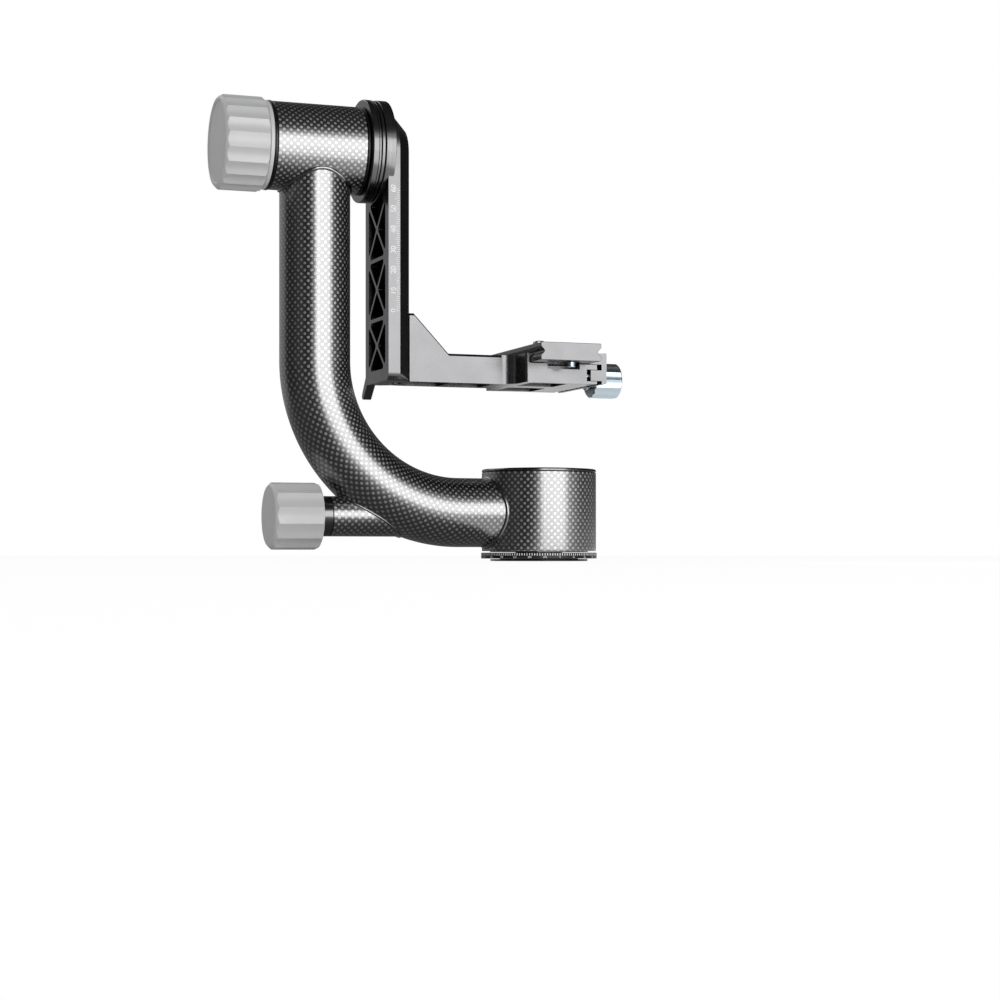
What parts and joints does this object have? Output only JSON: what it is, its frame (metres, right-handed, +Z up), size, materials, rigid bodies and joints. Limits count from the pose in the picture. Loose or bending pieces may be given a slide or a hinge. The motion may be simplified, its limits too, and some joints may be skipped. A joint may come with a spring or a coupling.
{
  "type": "cantilever camera mount",
  "caption": "Side-mount gimbal head for a tripod: a bent carbon tube from a panning base to a tilt hub, whose hanging plate carries a quick-release platform that slides up it.",
  "frame": {"origin": "on the pan axis, at the underside of the foot, which is the face that rests on the tripod", "axes": "+Z up along the pan axis; +X from the arm towards the platform's clamp, along the tilt axis; +Y along the quick plate, away from the front of the picture"},
  "size_m": [0.211, 0.09, 0.2296],
  "materials": {
    "carbon": "clear-coated plain carbon weave",
    "black_anodised": "black satin anodised",
    "dark_anodised": "dark grey satin anodised",
    "grey_anodised": "light grey satin anodised",
    "polished": "polished and lightly tinted",
    "steel": "turned",
    "brass": "turned",
    "black_plastic": "fine matt",
    "rubber": "ribbed"
  },
  "bodies": {
    "base": {"base_plate": "black_anodised", "thread_insert": "steel", "degree_ring": "black_anodised", "spindle_nut": "steel"},
    "arm": {"sleeve": "carbon", "pan_housing": "dark_anodised", "pan_bearing_lower": "steel", "pan_bearing_upper": "steel", "pan_cap": "black_anodised", "arm_tube": "carbon", "pan_stub": "carbon", "pan_stub_collar": "black_anodised", "tilt_housing": "carbon", "tilt_end_ring_left": "black_anodised", "tilt_end_ring_right": "black_anodised", "tilt_flange": "black_anodised", "friction_ring": "black_plastic", "tilt_bearing_left": "steel", "tilt_bearing_right": "steel"},
    "pan_brake": {"pan_brake_shoe": "brass"},
    "pan_lock": {"pan_knob": "grey_anodised", "pan_lock_screw": "steel"},
    "tilt_thrust": {"tilt_thrust_collar": "grey_anodised"},
    "tilt_lock": {"tilt_knob": "grey_anodised", "tilt_knob_insert": "brass"},
    "hub": {"tilt_hub": "black_anodised", "tilt_shaft": "steel", "hub_screw": "steel", "swing_plate": "dark_anodised", "plate_screw_lower": "steel", "plate_screw_upper": "steel"},
    "carriage": {"platform": "dark_anodised", "lever_pin": "steel", "guide_pin_front": "steel", "guide_pin_rear": "steel"},
    "lever": {"foot_lever": "grey_anodised"},
    "jaw": {"clamp_jaw": "dark_anodised"},
    "clamp_lock": {"clamp_knob": "polished", "clamp_screw": "steel", "clamp_washer": "steel"},
    "quick": {"quick_plate": "grey_anodised", "stop_screw_front": "steel", "stop_screw_rear": "steel", "grip_pad_front": "rubber", "grip_pad_rear": "rubber"},
    "camera_clip": {"camera_washer": "steel"},
    "camera_screw_body": {"camera_screw": "steel"}
  },
  "joints": [
    {"name": "pan", "type": "hinge", "parent": "base", "child": "arm", "pos_m": [0, 0, 0], "axis": [0, 0, 1], "continuous": true},
    {"name": "pan_brake_slide", "type": "slide", "parent": "arm", "child": "pan_brake", "axis": [1, 0, 0], "range_m": [-0.00125, 0]},
    {"name": "pan_lock_turn", "type": "hinge", "parent": "pan_brake", "child": "pan_lock", "pos_m": [0, 0, 0.0223], "axis": [1, 0, 0], "range_deg": [-360, 0]},
    {"name": "tilt_thrust_slide", "type": "slide", "parent": "arm", "child": "tilt_thrust", "axis": [1, 0, 0], "range_m": [-0.00125, 0]},
    {"name": "tilt_lock_turn", "type": "hinge", "parent": "tilt_thrust", "child": "tilt_lock", "pos_m": [0, 0, 0.2042], "axis": [1, 0, 0], "range_deg": [-360, 0]},
    {"name": "tilt", "type": "hinge", "parent": "arm", "child": "hub", "pos_m": [0, 0, 0.2042], "axis": [1, 0, 0], "continuous": true},
    {"name": "platform_height", "type": "slide", "parent": "hub", "child": "carriage", "axis": [0, 0, 1], "range_m": [0, 0.06]},
    {"name": "platform_lock_turn", "type": "hinge", "parent": "carriage", "child": "lever", "pos_m": [-0.0818, 0.0235, 0.0971], "axis": [1, 0, 0], "range_deg": [0, 90]},
    {"name": "jaw_slide", "type": "slide", "parent": "carriage", "child": "jaw", "axis": [1, 0, 0], "range_m": [0, 0.0025]},
    {"name": "clamp_knob_turn", "type": "hinge", "parent": "jaw", "child": "clamp_lock", "pos_m": [0.028, 0, 0.09345], "axis": [1, 0, 0], "range_deg": [0, 900]},
    {"name": "quick_slide", "type": "slide", "parent": "carriage", "child": "quick", "axis": [0, 1, 0], "range_m": [-0.0195, 0.0195]},
    {"name": "camera_screw_slide", "type": "slide", "parent": "quick", "child": "camera_clip", "axis": [0, 1, 0], "range_m": [-0.014, 0.014]},
    {"name": "camera_screw_turn", "type": "hinge", "parent": "camera_clip", "child": "camera_screw_body", "pos_m": [0, 0, 0.1], "axis": [0, 0, 1], "continuous": true}
  ],
  "couplings": [
    {"joint": "pan_lock_turn", "follows": "pan_brake_slide", "rad_per_m": 5026.5},
    {"joint": "tilt_lock_turn", "follows": "tilt_thrust_slide", "rad_per_m": 5026.5},
    {"joint": "clamp_knob_turn", "follows": "jaw_slide", "rad_per_m": 6283.2}
  ]
}
